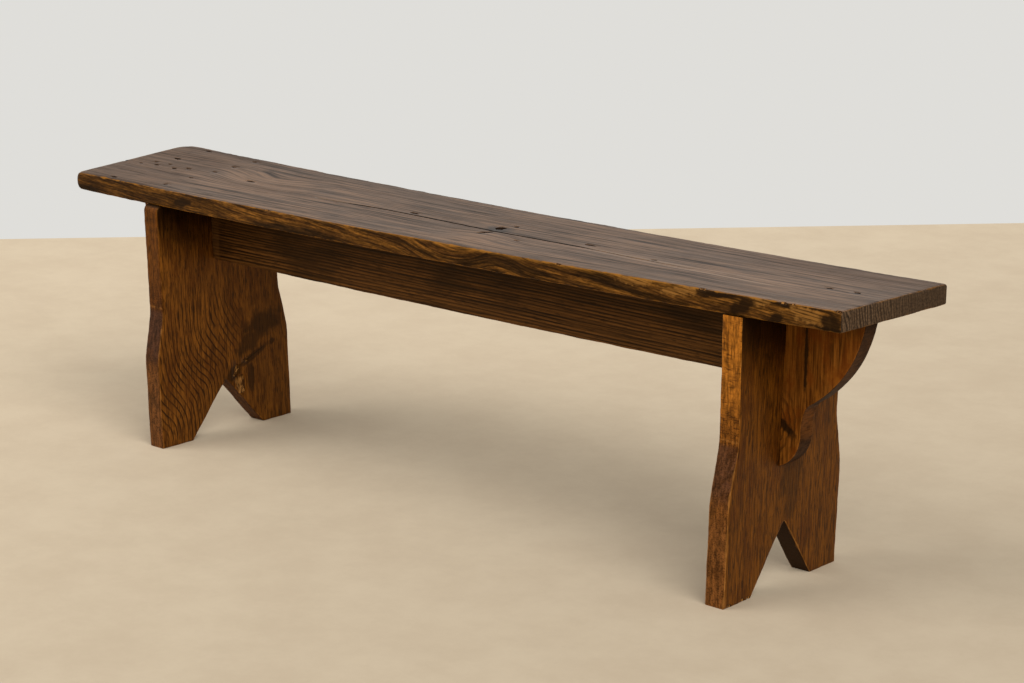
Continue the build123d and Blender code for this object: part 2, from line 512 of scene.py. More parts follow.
def leg_board(name, side):
    """A leg's mesh, leaning in from its top to its foot."""
    low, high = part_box(name)
    inner_reach, top_reach = sorted((abs(low.x), abs(high.x)))
    foot_reach = inner_reach + leg_thickness
    middle = (low.y + high.y) / 2

    def place(across, up, depth):
        reach = foot_reach + (top_reach - foot_reach) * up / seat_low.z - depth
        return np.column_stack([side * reach, middle + across, np.clip(up, 0, seat_low.z)])

    outline = leg_outline(side, high.y - low.y)
    leg = saw_board(
        name + "_board", outline, leg_thickness, (leg_arris, leg_arris), place, wander=leg_wander
    )
    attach(leg, "root")
    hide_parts(name)
    return leg


leg_pale = {LEFT: (0.224, 0.077, 0.0090, 1), RIGHT: (0.178, 0.058, 0.0050, 1)}
leg_dark = {LEFT: (0.060, 0.0185, 0.0026, 1), RIGHT: (0.048, 0.0140, 0.0014, 1)}
leg_red = (0.060, 0.0150, 0.0020, 1)
leg_ring_and_shadow = (0.013, 0.0050, 0.0014, 1)
leg_end_grain = (0.030, 0.0135, 0.0050, 1)
leg_worn = (0.36, 0.15, 0.034, 1)
edge_orange = {LEFT: (0.098, 0.031, 0.0040, 1), RIGHT: (0.328, 0.113, 0.0121, 1)}
edge_saw = (0.062, 0.018, 0.0030, 1)
edge_waist = (0.075, 0.021, 0.0040, 1)
edge_shoulder = (0.047, 0.0200, 0.0125, 1)
edge_foot = (0.136, 0.050, 0.0135, 1)
end_grain_share = {LEFT: 0.3, RIGHT: 1.0}
arris_wear = {LEFT: 0.45, RIGHT: 0.7}
foot_wear = {LEFT: 0.12, RIGHT: 0.4}
leg_gloss = 0.17
sawn_gloss = 0.04


def leg_finish(finish, side, dark_marks):
    """Oiled leg: dark marks over upright fibres, sawn edges, pale arrises, and painted shade by the
    seat.
    """
    fibre = finish.cloud(mm(2.2, 2.2, 42), detail=3, seed=2, rough=0.6)
    vein = finish.cloud(mm(6, 6, 150), detail=4, seed=7, rough=0.65)
    mottle = finish.cloud(mm(34, 34, 80), detail=5, seed=11, rough=0.65)
    pores = finish.cloud(mm(2.6, 2.6, 18), seed=17)
    fibres = fibre.band(0.38, 0.62)
    tone = finish.coats(
        leg_dark[side],
        (leg_pale[side], fibres * 0.65 + vein.band(0.38, 0.62) * 0.35),
        (leg_red, mottle.band(0.45, 0.70) * 0.7),
        (leg_ring_and_shadow, pores.band(0.53, 0.67) * 0.72),
        (leg_ring_and_shadow, dark_marks),
    )

    # the narrow edges: saw marks, stains at the waist and foot, flecks and pits
    saw = finish.cloud(mm(12, 12, 2), detail=1, seed=4)
    saw_patches = finish.cloud(mm(26, 26, 40), seed=13).band(0.38, 0.62)
    fleck = finish.cloud(mm(5, 5, 16), detail=4, seed=9, rough=0.6)
    blots = finish.cloud(mm(15, 15, 26), detail=4, seed=23, rough=0.6)
    pits = finish.cloud(mm(3, 3, 2), detail=3, seed=15, rough=0.6)
    stained = finish.z + finish.swing(mm(14, 14, 14), 16 * MM, detail=3)
    below_waist = stained.fall(250 * MM, 320 * MM)
    shoulder = stained.band(135 * MM, 168 * MM) * finish.z.fall(230 * MM, 240 * MM)
    ridge = finish.z.hump(241 * MM, 3 * MM) * fleck.band(0.4, 0.6)
    edge_tone = finish.coats(
        edge_orange[side],
        (edge_saw, saw.band(0.5, 0.68) * saw_patches * 0.8),
        (edge_waist, below_waist * 0.55),
        (edge_foot, stained.fall(120 * MM, 175 * MM) * 0.75),
        (edge_shoulder, shoulder * 0.78),
    )
    edge_tone = finish.shade(edge_tone, fleck.band(0.34, 0.66) * 0.9 + fibres * 0.5 + 0.34)
    edge_tone = finish.tint(edge_tone, edge_saw, blots.band(0.52, 0.66) * 0.5)
    edge_tone = finish.shade(edge_tone, 1 - pits.band(0.48, 0.64) * below_waist * 0.55)
    edge_tone = finish.tint(edge_tone, leg_worn, ridge * 0.5)

    narrow_edge = finish.edge_on("Y")
    underneath = finish.facing("Z").fall(-0.5, -0.2)
    scuffed = finish.worn(26 * MM, start=0.4, end=0.9) * finish.z.fall(170 * MM, 250 * MM)
    tone = finish.coats(
        tone,
        (edge_tone, narrow_edge),
        (leg_end_grain, underneath * end_grain_share[side]),
        (leg_worn, finish.worn() * arris_wear[side]),
        (leg_worn, scuffed * foot_wear[side]),
    )
    # painted shade: the broad faces are darkened towards the seat, where its shadow falls
    painted_seat_shade = (finish.z + finish.swing(mm(60, 60, 60), 40 * MM)).band(300 * MM, 420 * MM)
    tone = finish.shade(tone, 1 - painted_seat_shade * (1 - narrow_edge) * 0.92)
    height = fibre * 0.5 + vein * 0.3 + saw * 0.3
    gloss = (1 - underneath) * (leg_gloss - sawn_gloss) + sawn_gloss
    return finish.close(tone, fibre * 0.25 + 0.38, height, 0.6 * MM, gloss, amber_sheen)


# Right leg: straight, fine upright grain, a painted shadow below the bracket, a nick in its front
# arris and a chipped foot
right_leg = leg_board("right_leg", RIGHT)
right_finish = Finish("right_leg_oiled")
right_lines = right_finish.cloud(mm(4, 4, 150), detail=3, seed=14, rough=0.6)
right_figure_and_shadow = right_lines.band(0.5, 0.7) * 0.42
# painted shadow: a dark patch on the outer face below the bracket, where the bracket's shadow falls
bracket_shadow_patch = right_finish.patch(mm(620, 6, 165), mm(90, 34, 75), ragged=0.7, pitch=30 * MM)
right_figure_and_shadow = right_finish.most(right_figure_and_shadow, bracket_shadow_patch * 0.5)
right_leg.data.materials.append(leg_finish(right_finish, RIGHT, right_figure_and_shadow))
right_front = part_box("right_leg")[0].y
right_foot_edge = 622 * MM
right_chips = [chip(mm(632, -131.5, 377), mm(11, 2.6, 3))]
for behind_front, size in ((12 * MM, mm(3, 6, 4)), (44 * MM, mm(3, 4, 5)), (58 * MM, mm(4, 5, 4))):
    right_chips.append(chip((right_foot_edge, right_front + behind_front, 0), size))
cut(right_leg, right_chips, raw_wood())

# Left leg: the grain sweeps round a dark knot above the notch, where splinters have broken out
left_leg = leg_board("left_leg", LEFT)
ring_spacing = 8 * MM
rings_through = 60
lean_height = 226 * MM
lean_run = 1.1
lean_share = 1 / 1.85
lean_shift = 58 * MM
lean_round = 34 * MM
left_inner_mm = -555
knot_middle_mm = -553
left_finish = Finish("left_leg_oiled")
leaning = (left_finish.z + left_finish.y * lean_run - lean_height) * lean_share
bent = left_finish.reckon("SMOOTH_MIN", left_finish.y, leaning, lean_round)
upright_again = left_finish.y - lean_shift
swept = left_finish.reckon("SMOOTH_MAX", bent, upright_again, lean_round / 2)
left_phase = (
    swept / ring_spacing
    + left_finish.x * rings_through
    + left_finish.swing(mm(36, 36, 55), 0.35)
    + left_finish.swing(mm(90, 90, 140), 1.1, detail=1, seed=4)
)
ring_fade = left_finish.y.fall(5 * MM, 60 * MM) * left_finish.z.fall(200 * MM, 310 * MM)
ring_patches = left_finish.cloud(mm(20, 20, 34), detail=3, seed=21).band(0.25, 0.6)
ring_depth = ring_patches * ring_fade * 0.9 + 0.1
left_figure = left_phase.rings(0.58, 0.86) * ring_depth
rear_dark = left_finish.y.band(20 * MM, 100 * MM) * 0.2
left_figure = left_finish.most(left_figure, rear_dark)
# dark marks: place across and up, width, height, turn, raggedness, its pitch, depth of colour
knot_marks = (
    (92, 176, 62, 34, -0.25, 0.7, 26, 0.8),
    (62, 150, 52, 22, -0.5, 0.6, 20, 0.75),
    (64, 122, 60, 9, -0.40, 0.45, 14, 0.8),
    (62, 123, 58, 2.6, -0.38, 0.25, 9, 0.97),
    (110, 140, 11, 7, -0.4, 0.3, 8, 0.85),
    (57, 84, 12, 36, 0.0, 0.5, 14, 0.75),
    (16, 98, 26, 16, -0.5, 0.4, 12, 0.85),
)
for across_mm, up_mm, wide_mm, tall_mm, turn, ragged, pitch_mm, depth in knot_marks:
    centre = mm(knot_middle_mm, across_mm, up_mm)
    dark = left_finish.patch(centre, mm(90, wide_mm, tall_mm), ragged, pitch_mm * MM, turn)
    left_figure = left_finish.most(left_figure, dark * depth)
left_leg.data.materials.append(leg_finish(left_finish, LEFT, left_figure))
gouges = [
    chip(mm(left_inner_mm, 32, 77), mm(6, 10, 16), turn=0.2, axis="X"),
    chip(mm(left_inner_mm, 21, 103), mm(5, 4.5, 10), turn=-0.5, axis="X"),
    chip(mm(left_inner_mm, 46, 118), mm(4, 6, 4), turn=0.4, axis="X"),
]
cut(left_leg, gouges, raw_wood())

# Stretcher
# A softwood board set on edge under the middle of the seat, its ends bevelled to the leaning legs.
# It is nailed through both legs and from the seat above.
stretcher_low, stretcher_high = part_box("stretcher")
stretcher_arris = 1.8 * MM
leg_slope = {
    name: (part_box(name)[1].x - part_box(name)[0].x - leg_thickness) / seat_low.z
    for name in ("left_leg", "right_leg")
}
stretcher_drop = stretcher_high.z - stretcher_low.z


def stretcher_place(along, up, depth):
    """The stretcher's points, drawn on its back face."""
    return np.column_stack([along, stretcher_high.y - depth, up])


stretcher_outline = [
    (stretcher_low.x + leg_slope["left_leg"] * stretcher_drop, stretcher_low.z),
    (stretcher_high.x - leg_slope["right_leg"] * stretcher_drop, stretcher_low.z),
    (stretcher_high.x, stretcher_high.z),
    (stretcher_low.x, stretcher_high.z),
]
stretcher = saw_board(
    "stretcher_board",
    stretcher_outline,
    stretcher_high.y - stretcher_low.y,
    (stretcher_arris, stretcher_arris),
    stretcher_place,
    step=6 * MM,
    wander=0.5 * MM,
)
stretcher_pale = (0.196, 0.079, 0.0185, 1)
stretcher_dark = (0.010, 0.0044, 0.0018, 1)
stretcher_stain = (0.012, 0.0058, 0.0022, 1)
stretcher_worn = (0.20, 0.085, 0.022, 1)
stretcher_lines = 5 * MM
lines_through = 50
lines_along = 1.6


def stretcher_finish():
    """Oiled stretcher: straight dark lines along it, stains, and painted shadow of the seat along
    its top.
    """
    finish = Finish("stretcher_oiled")
    phase = (
        finish.z / stretcher_lines
        + finish.y * lines_through
        + finish.x * lines_along
        + finish.swing(mm(420, 60, 50), 1.6, detail=3)
    )
    late = phase.rings(0.15, 0.8)
    fibre = finish.cloud(mm(160, 1.9, 1.9), detail=3, seed=2, rough=0.6)
    vein = finish.cloud(mm(500, 4.5, 4.5), detail=3, seed=8, rough=0.6)
    stain = finish.cloud(mm(150, 45, 45), detail=3, seed=6)
    pores = finish.cloud(mm(22, 2.4, 2.4), detail=3, seed=12, rough=0.6)
    tone = finish.coats(
        stretcher_pale,
        (stretcher_dark, late * 0.45 + fibre.fall(0.38, 0.62) * 0.4 + vein.fall(0.38, 0.62) * 0.3),
        (stretcher_stain, stain.band(0.48, 0.68) * 0.65),
        (stretcher_dark, pores.band(0.52, 0.66) * 0.6),
        (stretcher_worn, finish.worn() * 0.5),
        (stretcher_worn, finish.x.fall(-552 * MM, -546 * MM) * 0.3),
    )
    # painted shadow: the top of the stretcher is darkened where the seat's shadow falls
    painted_seat_shade = (finish.z + finish.swing(mm(220, 40, 40), 18 * MM)).band(338 * MM, 392 * MM)
    tone = finish.shade(tone, 1 - painted_seat_shade * 0.68)
    height = fibre * 0.6 + late * 0.4
    return finish.close(tone, fibre * 0.25 + 0.42, height, 0.7 * MM, leg_gloss, amber_sheen)


stretcher.data.materials.append(stretcher_finish())
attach(stretcher, "root")
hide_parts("stretcher")

# Seat plank
# One broad softwood plank, planed by hand and dark with use, worn round at its left end and sawn
# off at its right. It is nailed down on the legs through its top, and has opened along a shake.
seat_thickness = seat_high.z - seat_low.z
seat_top_arris = 2.4 * MM
seat_bottom_arris = 2 * MM
nose_round = 13 * MM
nose_fade = 60 * MM
nose_front_corner = 12 * MM
nose_back_corner = 28 * MM
sawn_end_skew = 6 * MM
shake_route = (
    (-310, -16), (-255, -13), (-215, -11), (-174, -9), (-86, -11), (21, -14),
    (79, -17), (151, -17), (251, -18), (333, -24), (401, -28), (470, -32),
)
shake_depth = 5 * MM
shake_half_width = 0.9 * MM
shake_open_from = -215 * MM
shake_open_to = 245 * MM
shake_closing = 60 * MM
shake_end_share = 0.15
shake_stray = 0.8 * MM
shake_stray_pitch = 18 * MM
shake_point_gap = 6 * MM
shake_x, shake_y = np.array(shake_route).T * MM
shake_dirt_rows = ((-3, 0), (-2, -0.7), (-1, -1), (0, -1), (1, -1), (2, -0.7), (3, 0))
plane_marks = 0.35 * MM
plane_mark_width = 30 * MM
plane_mark_stretch = 4


def shake_jog(x):
    """How far the shake strays from its route."""
    return shake_stray * ripple(np.column_stack([x, 0 * x, 0 * x]), shake_stray_pitch)


def shake_line(offset):
    """A line beside the shake."""
    x = np.arange(shake_x[0], shake_x[-1], shake_point_gap)
    return np.column_stack([x, np.interp(x, shake_x, shake_y) + shake_jog(x) + offset])


def seat_place(along, across, depth):
    """The seat's points: the round nose of its left end, the open shake and the planed hollows."""
    top = depth > seat_thickness - 0.01 * MM
    apart = np.abs(across - np.interp(along, shake_x, shake_y) - shake_jog(along))
    stops = [shake_x[0], shake_open_from, shake_open_to, shake_x[-1]]
    opened = np.interp(along, stops, [shake_end_share, 1, 1, shake_end_share])
    in_shake = top & (apart < 1.2 * shake_half_width) & (along > shake_x[0]) & (along < shake_x[-1])
    spots = np.column_stack([along / plane_mark_stretch, across, depth])
    planed = ripple(spots, plane_mark_width)
    z = seat_low.z + depth - in_shake * shake_depth * opened + top * plane_marks * planed
    from_middle = np.abs(depth - seat_thickness / 2) - (seat_thickness / 2 - nose_round)
    rounded = nose_round - np.sqrt(nose_round ** 2 - np.clip(from_middle, 0, nose_round) ** 2)
    near_nose = np.clip(1 - (along - seat_low.x) / nose_fade, 0, 1)
    return np.column_stack([along + rounded * near_nose, across, z])


seat_outline = eased([
    (seat_low.x, -seat_half_width, nose_front_corner),
    (seat_high.x - sawn_end_skew, -seat_half_width, 0),
    (seat_high.x, seat_half_width, 0),
    (seat_low.x, seat_half_width, nose_back_corner),
])
seat = saw_board(
    "seat_plank_board",
    seat_outline,
    seat_thickness,
    (seat_bottom_arris, seat_top_arris),
    seat_place,
    wander=0.7 * MM,
    cracks=[(shake_line(offset * shake_half_width), dirt) for offset, dirt in shake_dirt_rows],
)

top_pale = (0.200, 0.104, 0.050, 1)
top_dark = (0.020, 0.0105, 0.0060, 1)
top_grey = (0.064, 0.039, 0.025, 1)
top_brown = (0.074, 0.035, 0.015, 1)
front_pale = (0.165, 0.067, 0.0110, 1)
front_mid = (0.056, 0.0220, 0.0048, 1)
front_dark = (0.011, 0.0052, 0.0022, 1)
front_amber_wear_and_highlight = (0.330, 0.140, 0.0200, 1)
front_rubbed = (0.330, 0.150, 0.0330, 1)
end_grain_pale = (0.105, 0.062, 0.033, 1)
end_grain_dark = (0.013, 0.0080, 0.0048, 1)
underside_tone = (0.060, 0.030, 0.012, 1)
shake_dirt = (0.006, 0.004, 0.003, 1)
shake_pale = (0.190, 0.152, 0.125, 1)
seat_worn = (0.30, 0.125, 0.018, 1)
top_sheen = (1.0, 0.94, 0.88, 1)
top_raised = (0.330, 0.215, 0.140, 1)
raised_lines = ((-9 * MM, 0.027), (2 * MM, 0.078), (-12 * MM, 0.058))
figure_spacing = 11 * MM
wave_slope = 0.075
end_ring_spacing = 6 * MM
end_ring_lean = 28
# marks on the front: place along and up, length, height and turn
rubbed_patches = (
    (735, 440, 42, 13, -0.1),
    (655, 446, 26, 8, 0.2),
    (520, 441, 45, 9, 0.1),
    (440, 442, 40, 8, 0.0),
)
blotches = (
    (629, 436, 30, 15, 0.5),
    (590, 446, 60, 6, 0.12),
    (684, 429, 18, 8, 0.3),
    (697, 449, 10, 5, 0.0),
    (772, 438, 26, 17, -0.3),
    (-516, 427, 30, 8, 0.1),
)
oiled = Finish("seat_oiled")

# the top: long fine fibres, grey with use, bending round the knot and the old figure
bend = (
    oiled.x.hump(-460 * MM, 130 * MM) * oiled.y.hump(20 * MM, 75 * MM) * (26 * MM)
    + oiled.x.hump(85 * MM, 90 * MM) * oiled.y.hump(-50 * MM, 60 * MM) * (-16 * MM)
    + oiled.swing(mm(300, 120, 120), 9 * MM)
)
bent_spot = oiled.step("ShaderNodeCombineXYZ", {0: oiled.x, 1: oiled.y + bend, 2: oiled.z})
top_fibre = oiled.cloud(mm(190, 4.5, 30), detail=4, seed=2, rough=0.6, spot=bent_spot)
top_vein = oiled.cloud(mm(520, 12, 60), detail=4, seed=6, rough=0.65, spot=bent_spot)
top_stain = oiled.cloud(mm(170, 60, 60), detail=5, seed=9, rough=0.65)
top_light = top_fibre.band(0.41, 0.59) * 0.65 + top_vein.band(0.39, 0.61) * 0.35
left_brown = (oiled.x + oiled.swing(mm(90, 60, 60), 80 * MM)).fall(-640 * MM, -520 * MM)
right_brown = oiled.x.band(350 * MM, 650 * MM) * oiled.y.band(10 * MM, 100 * MM)
brown_share = oiled.most(left_brown, right_brown)
top_pores = oiled.cloud(mm(55, 4, 30), detail=3, seed=15, rough=0.6, spot=bent_spot)
top_dashes = top_pores.band(0.54, 0.66)
knot_place = (74 * MM, -4 * MM, seat_high.z)
top_tone = oiled.coats(
    top_dark,
    (top_pale, top_light),
    (top_grey, top_stain.band(0.42, 0.65) * 0.5),
    (top_brown, brown_share * 0.45),
    (top_dark, top_dashes * 0.6),
    (top_dark, oiled.patch(knot_place, mm(34, 22, 60), ragged=0.7, pitch=14 * MM) * 0.9),
)
line_run = oiled.x.band(225 * MM, 290 * MM) * oiled.x.fall(540 * MM, 720 * MM)
for line_y, line_slope in raised_lines:
    beside = oiled.y + oiled.x * line_slope + oiled.swing(mm(60, 60, 60), 2 * MM)
    raised = beside.hump(line_y, 4 * MM) * line_run * 0.55
    top_tone = oiled.tint(top_tone, top_raised, raised)
swirl_place = (92 * MM, -80 * MM, seat_high.z)
pale_swirl = oiled.patch(swirl_place, mm(40, 26, 60), ragged=0.6, pitch=16 * MM)
top_tone = oiled.tint(top_tone, top_pale, pale_swirl * 0.35)
figure_phase = (oiled.y + bend) / figure_spacing + oiled.swing(mm(60, 25, 60), 0.8)
old_figure = oiled.patch((-450 * MM, 0, seat_high.z), mm(120, 85, 60), ragged=0.5, pitch=40 * MM)
top_tone = oiled.tint(top_tone, top_pale, old_figure * figure_phase.rings(0.3, 0.8) * 0.4)

# the front and back: dark waves that run down across the edge, rubbed amber with a painted
# highlight along the top, and blotches near the right end
wave = (
    oiled.x * wave_slope
    + oiled.x.hump(75 * MM, 110 * MM) * (17 * MM)
    + oiled.x.hump(190 * MM, 75 * MM) * (-10 * MM)
    + oiled.swing(mm(170, 200, 80), 8 * MM)
)
wave_height = oiled.z + wave
waved_spot = oiled.step("ShaderNodeCombineXYZ", {0: oiled.x, 1: oiled.y, 2: wave_height})
front_fibre = oiled.cloud(mm(50, 30, 2.6), detail=3, seed=2, rough=0.6, spot=waved_spot)
front_vein = oiled.cloud(mm(130, 60, 7), detail=4, seed=12, rough=0.65, spot=waved_spot)
front_bands = oiled.cloud(mm(240, 80, 15), detail=3, seed=4, rough=0.6, spot=waved_spot)
front_tone = oiled.tint(front_mid, front_pale, front_vein.band(0.4, 0.62))
front_tone = oiled.tint(front_tone, front_dark, front_bands.band(0.47, 0.62) * 0.85)
front_tone = oiled.shade(front_tone, front_fibre.band(0.36, 0.64) + 0.4)
front_tone = oiled.shade(front_tone, oiled.x.band(-520 * MM, -330 * MM) * 0.3 + 0.7)
front_fleck = oiled.cloud(mm(10, 10, 2.4), detail=4, seed=18, rough=0.65)
front_tone = oiled.shade(front_tone, front_fleck.band(0.3, 0.7) * 0.9 + 0.55)
# rubbed amber wear and a painted highlight along the top of the front face, below the arris
front_top = (oiled.z + oiled.swing(mm(40, 40, 14), 7 * MM, detail=3)).band(438 * MM, 449 * MM)
amber_run = oiled.x.hump(100 * MM, 560 * MM)
front_tone = oiled.tint(
    front_tone, front_amber_wear_and_highlight, front_top * amber_run * front_fibre.band(0.3, 0.6) * 0.95
)


def front_mark(along_mm, up_mm, long_mm, tall_mm, turn, ragged, pitch):
    """A ragged patch on the seat's front edge."""
    place = (along_mm * MM, -seat_half_width, up_mm * MM)
    return oiled.patch(place, mm(long_mm, 60, tall_mm), ragged, pitch, turn, "Y_AXIS")


for mark in rubbed_patches:
    rubbed = front_mark(*mark, ragged=1.0, pitch=9 * MM)
    front_tone = oiled.tint(front_tone, front_rubbed, rubbed * front_fibre.band(0.3, 0.6) * 0.75)
for mark in blotches:
    blot = front_mark(*mark, ragged=0.75, pitch=17 * MM)
    front_tone = oiled.tint(front_tone, front_dark, blot * 0.92)

# the ends: rings standing upright in grey end grain
end_bend = oiled.swing(mm(80, 24, 60), 1.8, seed=5)
end_phase = oiled.y / end_ring_spacing + oiled.z * end_ring_lean + end_bend
end_front = oiled.y.hump(-90 * MM, 170 * MM)
end_rings = end_phase.rings(0.25, 0.8) * (end_front * 0.65 + 0.3)
end_pores = oiled.cloud(mm(3, 3, 3), detail=4, seed=1, rough=0.6)
end_tone = oiled.tint(end_grain_pale, end_grain_dark, end_rings)
end_tone = oiled.shade(end_tone, end_pores.band(0.3, 0.7) * 0.8 + 0.45)
end_tone = oiled.shade(end_tone, end_front * 0.5 + 0.6)

upward = oiled.facing("Z").band(0.45, 0.9)
downward = oiled.facing("Z").fall(-0.9, -0.45)
near_end = oiled.reckon("ABSOLUTE", oiled.x).band(750 * MM, seat_high.x - 6 * MM)
seat_rubbed = oiled.worn(16 * MM, start=0.58, end=1.05) * (1 - near_end * 0.6)
gaping_left = oiled.x.band(shake_open_from - shake_closing, shake_open_from)
gaping = gaping_left * oiled.x.fall(shake_open_to, shake_open_to + shake_closing)
in_shake = oiled.wear().fall(-0.6, -0.15) * (gaping * 0.55 + 0.45)
seat_tone = oiled.coats(
    front_tone,
    (end_tone, oiled.edge_on("X")),
    (oiled.shade(underside_tone, top_light * 1.2 + 0.4), downward),
    (top_tone, upward),
    (seat_worn, seat_rubbed * 0.85),
    (oiled.tint(shake_pale, shake_dirt, gaping), in_shake),
)
seat_rough = top_fibre * 0.3 + 0.35
seat_height = top_fibre * 0.5 + top_vein * 0.4 + front_fibre * 0.3
top_gloss = top_light * 0.62 + 0.10
top_gloss = top_gloss * (1 - brown_share * 0.35) * (1 - top_dashes * 0.5)
seat_gloss = upward * top_gloss + (1 - upward) * 0.1
seat_gloss = seat_gloss * (1 - in_shake * gaping) * (1 - seat_rubbed * 0.7)
seat_sheen = oiled.tint(amber_sheen, top_sheen, upward)
seat.data.materials.append(
    oiled.close(seat_tone, seat_rough, seat_height, 0.7 * MM, seat_gloss, seat_sheen)
)

# holes in the top: place along and across, half length and half width
old_nail_holes = (
    (-715, 41, 8, 4.5),
    (-702, -113, 7, 4),
    (-713, 112, 8, 3),
    (74, 3, 10, 11),
    (87, 27, 4, 4),
)
filled_holes = (
    (-728, 3, 6, 3.5),
    (-744, -18, 5, 3),
    (-693, 5, 5, 3),
    (-642, 2, 6, 4),
    (150, -46, 7, 2.5),
    (391, -19, 6, 2.5),
)
hole_depth = 5 * MM
filled_depth = 2 * MM
nail_hole_width = 3.5 * MM
nail_hole_length = 6 * MM
stretcher_hole_length = 11 * MM
nail_spacing = 12 * MM
hole_black = (0.006, 0.0035, 0.0025, 1)
hole_brown = (0.030, 0.016, 0.009, 1)
filler_dark = (0.020, 0.011, 0.006, 1)
filler_pale = (0.085, 0.043, 0.020, 1)
stopped_nails = "seat_to_right_leg_nails"


def seat_surface(x, y):
    """The height of the settled seat top."""
    return settled(np.array([[x, y, seat_high.z]]))[0][2]


def nail_rows(node):
    """The lowest and highest corner of each nail of a joint, and the axis it lies along."""
    points = np.array([vertex.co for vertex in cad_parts[node].data.vertices])
    way = 2 if node.startswith("seat_to") else 0
    cross = [axis for axis in range(3) if axis != way]
    groups = []
    for point in points:
        for group in groups:
            if np.abs(group[0][cross] - point[cross]).max() < nail_spacing:
                group.append(point)
                break
        else:
            groups.append([point])
    return [(np.min(group, axis=0), np.max(group, axis=0), way) for group in groups]


open_places = [mm(*hole) for hole in old_nail_holes]
filled_places = [mm(*hole) for hole in filled_holes]
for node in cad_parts:
    if node.startswith("seat_to") and node != stopped_nails:
        for low, high, way in nail_rows(node):
            long = stretcher_hole_length if "stretcher" in node else nail_hole_length
            hole = (*(low + high)[:2] / 2, long, nail_hole_width)
            (filled_places if "leg" in node else open_places).append(hole)


def hole_chips(places, depth):
    """Plugs for holes in the settled seat top."""
    return [chip((x, y, seat_surface(x, y)), (long, wide, depth)) for x, y, long, wide in places]


hole_plugs = hole_chips(open_places, hole_depth)
filled_plugs = hole_chips(filled_places, filled_depth)
knot_slit = mm(75, -33)
slit_size = mm(14, 3.6, 8)
slit_turn = math.radians(60)
hole_plugs.append(chip((*knot_slit, seat_surface(*knot_slit)), slit_size, slit_turn, "Z"))
nick_x = seat_low.x + 10 * MM
nick_y = -20 * MM
hole_plugs.append(chip((nick_x, nick_y, seat_surface(nick_x, 0)), mm(9, 5, 4)))
hole_dirt = Finish("old_hole")
hole_cloud = hole_dirt.cloud(mm(4, 4, 4), detail=3)
hole_tone = hole_dirt.tint(hole_black, hole_brown, hole_cloud)
hole_rough = hole_cloud * 0.2 + 0.75
cut(seat, hole_plugs, hole_dirt.close(hole_tone, hole_rough, hole_cloud, 0.5 * MM, 0.05))
filler = Finish("filled_hole")
filler_cloud = filler.cloud(mm(3, 3, 3), detail=3)
filler_tone = filler.tint(filler_dark, filler_pale, filler_cloud.band(0.35, 0.65))
filler_rough = filler_cloud * 0.2 + 0.5
cut(seat, filled_plugs, filler.close(filler_tone, filler_rough, filler_cloud, 0.5 * MM, 0.15))
# chips in the front arris: place along, half length, half width and half depth
arris_chips = (
    (695, 7, 3, 2.5),
    (711, 5, 2.5, 2),
    (784, 6, 4, 3),
    (560, 6, 2.5, 2),
    (-310, 7, 2.5, 2),
    (300, 8, 2.5, 2),
)
chip_plugs = []
for x, *size in (mm(*sizes) for sizes in arris_chips):
    chip_plugs.append(chip((x, -seat_half_width, seat_surface(x, -seat_half_width)), size))
cut(seat, chip_plugs, raw_wood())
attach(seat, "root")
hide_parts("seat_plank")

# Brackets
# Two sawn boards with the grain upright, one under each overhanging end: a large curve, a short
# hollow and a small lobe by the leg. Each is nailed from the seat, and to the leg at its hollow.
bracket_projection = 132 * MM
bracket_height = 235 * MM
bracket_step = mm(42, 140)
bracket_lobe = mm(34, 178)
curve_bulge = 20 * MM
hollow_depth = 2 * MM
lobe_bulge = 12 * MM
curve_points = 32
lobe_points = 8
bracket_arris = 1.4 * MM
knot_ring_spacing = 8 * MM
knot_shape = (1, 0, 0.55)


def bowed(start, end, bulge, steps):
    """Points on an arc from start towards end, bowed out by a bulge, without its last point."""
    start, end = Vector(start), Vector(end)
    chord = end - start
    side = Vector((chord.y, -chord.x)).normalized()
    radius = (chord.length ** 2 / 4 + bulge ** 2) / (2 * bulge)
    centre = (start + end) / 2 - side * (radius - bulge)
    sweep = (start - centre).angle_signed(end - centre)
    return [
        centre + Matrix.Rotation(-sweep * step / steps, 2) @ (start - centre)
        for step in range(steps)
    ]


def bracket_board(name, side):
    """A bracket's mesh, drawn outward and down from the corner of the seat and its leg."""
    low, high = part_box(name)
    leg_low, leg_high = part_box(name.replace("bracket", "leg"))
    corner = max(abs(leg_low.x), abs(leg_high.x))
    toe_in = corner - min(abs(leg_low.x), abs(leg_high.x)) - leg_thickness

    def leaned(reach, drop):
        return (reach - toe_in * drop / seat_low.z, -drop)

    step, lobe, toe = leaned(*bracket_step), leaned(*bracket_lobe), leaned(0, bracket_height)
    rounded_lobe = bowed(toe, lobe, lobe_bulge, lobe_points)
    hollow = bowed(lobe, step, -hollow_depth, lobe_points)
    curve = bowed(step, (bracket_projection, 0), curve_bulge, curve_points)
    worn_step = [(hollow[-1] + curve[1]) / 2]
    outline = [(0, 0), toe, *rounded_lobe[1:], *hollow, *worn_step, *curve[1:]]
    outline.append((bracket_projection, 0))

    def place(out, up, depth):
        return np.column_stack([side * (corner + out), high.y - depth, seat_low.z + up])

    bracket = saw_board(
        name + "_board",
        outline,
        high.y - low.y,
        (bracket_arris, bracket_arris),
        place,
        step=3 * MM,
        wander=0.3 * MM,
        margin=0.8 * MM,
    )
    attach(bracket, "root")
    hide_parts(name)
    return bracket


bracket_pale = (0.320, 0.108, 0.0140, 1)
bracket_dark = (0.058, 0.017, 0.0022, 1)
bracket_red = (0.165, 0.038, 0.0035, 1)
bracket_glow = (0.330, 0.110, 0.0110, 1)
bracket_sawn = (0.042, 0.0175, 0.0068, 1)
bracket_hollow = (0.090, 0.030, 0.0060, 1)
bracket_streak = (0.014, 0.007, 0.003, 1)
bracket_worn = (0.32, 0.12, 0.024, 1)


